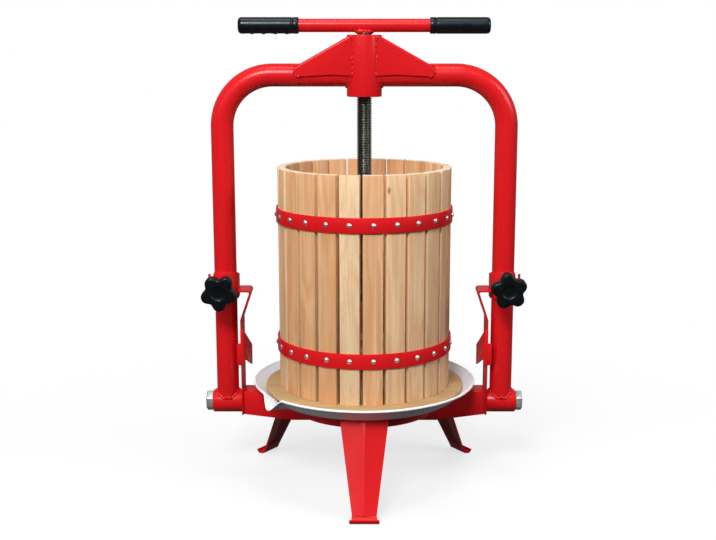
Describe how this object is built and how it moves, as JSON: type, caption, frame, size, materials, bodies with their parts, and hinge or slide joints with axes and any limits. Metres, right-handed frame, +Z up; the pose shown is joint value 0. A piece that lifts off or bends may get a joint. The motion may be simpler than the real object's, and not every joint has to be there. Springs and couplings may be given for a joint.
{
  "type": "fruit press",
  "caption": "Standing screw fruit press: a slatted wooden basket on a drip tray with a spout, on legs, under a hinged steel arch with a lead screw, cross handle and star knobs.",
  "frame": {"origin": "on the floor, on the vertical axis of the basket and the screw", "axes": "+Z up along the screw, +X towards the right hand post, the front leg points along -Y"},
  "size_m": [0.53, 0.4013, 0.7625],
  "materials": {
    "red_paint": "gloss",
    "beech": "planed, untreated",
    "board_wood": "planed, untreated",
    "white_enamel": "gloss",
    "black_plastic": "satin",
    "grip_rubber": "satin",
    "dark_steel": "oiled",
    "zinc_steel": "zinc plated",
    "brass": "machined"
  },
  "bodies": {
    "base": {"base_pan": "red_paint", "base_crossbar": "red_paint", "leg_front": "red_paint", "leg_rear_right": "red_paint", "leg_rear_left": "red_paint", "latch_strap_right": "red_paint", "latch_strap_left": "red_paint", "latch_saddle_right": "red_paint", "latch_saddle_left": "red_paint", "strap_stops": "red_paint", "pivot_bolts": "zinc_steel", "pivot_nuts": "zinc_steel"},
    "tray": {"drip_tray": "white_enamel", "base_board": "board_wood", "press_boards": "beech", "press_blocks": "beech"},
    "basket": {"stave_01": "beech", "stave_02": "beech", "stave_03": "beech", "stave_04": "beech", "stave_05": "beech", "stave_06": "beech", "stave_07": "beech", "stave_08": "beech", "stave_09": "beech", "stave_10": "beech", "stave_11": "beech", "stave_12": "beech", "stave_13": "beech", "stave_14": "beech", "stave_15": "beech", "stave_16": "beech", "stave_17": "beech", "stave_18": "beech", "stave_19": "beech", "stave_20": "beech", "stave_21": "beech", "stave_22": "beech", "stave_23": "beech", "stave_24": "beech", "band_upper": "red_paint", "band_lower": "red_paint", "band_rivets": "zinc_steel"},
    "arch": {"arch_tube_right": "red_paint", "arch_tube_left": "red_paint", "pivot_sleeves": "red_paint", "screw_boss": "red_paint", "arch_gussets": "red_paint", "lead_nut": "brass", "latch_bushes": "zinc_steel"},
    "foot": {"press_foot": "dark_steel"},
    "screw": {"drive_screw": "dark_steel", "handle_bar": "red_paint", "handle_grips": "grip_rubber"},
    "washer_right": {"knob_washer_right": "zinc_steel"},
    "knob_right": {"knob_right": "black_plastic", "knob_stud_right": "zinc_steel"},
    "washer_left": {"knob_washer_left": "zinc_steel"},
    "knob_left": {"knob_left": "black_plastic", "knob_stud_left": "zinc_steel"}
  },
  "joints": [
    {"name": "arch_tilt", "type": "hinge", "parent": "base", "child": "arch", "pos_m": [0, 0, 0.1305], "axis": [-1, 0, 0], "range_deg": [0, 12]},
    {"name": "screw_travel", "type": "slide", "parent": "arch", "child": "foot", "axis": [0, 0, 1], "range_m": [0, 0.3]},
    {"name": "screw_turn", "type": "hinge", "parent": "foot", "child": "screw", "pos_m": [0, 0, 0.325], "axis": [0, 0, 1], "range_deg": [0, 27000]},
    {"name": "tray_lift", "type": "slide", "parent": "base", "child": "tray", "axis": [0, 0, 1], "range_m": [0, 0.02]},
    {"name": "basket_lift", "type": "slide", "parent": "tray", "child": "basket", "axis": [0, 0, 1], "range_m": [0, 0.04]},
    {"name": "knob_right_travel", "type": "slide", "parent": "base", "child": "washer_right", "axis": [0, 1, 0], "range_m": [0, 0.012]},
    {"name": "knob_right_turn", "type": "hinge", "parent": "washer_right", "child": "knob_right", "pos_m": [0.2326, 0, 0.332], "axis": [0, 1, 0], "range_deg": [0, 2880]},
    {"name": "knob_left_travel", "type": "slide", "parent": "base", "child": "washer_left", "axis": [0, 1, 0], "range_m": [0, 0.012]},
    {"name": "knob_left_turn", "type": "hinge", "parent": "washer_left", "child": "knob_left", "pos_m": [-0.2326, 0, 0.332], "axis": [0, 1, 0], "range_deg": [0, 2880]}
  ],
  "couplings": [
    {"joint": "screw_turn", "follows": "screw_travel", "rad_per_m": 1570.8},
    {"joint": "knob_right_turn", "follows": "knob_right_travel", "rad_per_m": 4188.8},
    {"joint": "knob_left_turn", "follows": "knob_left_travel", "rad_per_m": 4188.8}
  ]
}
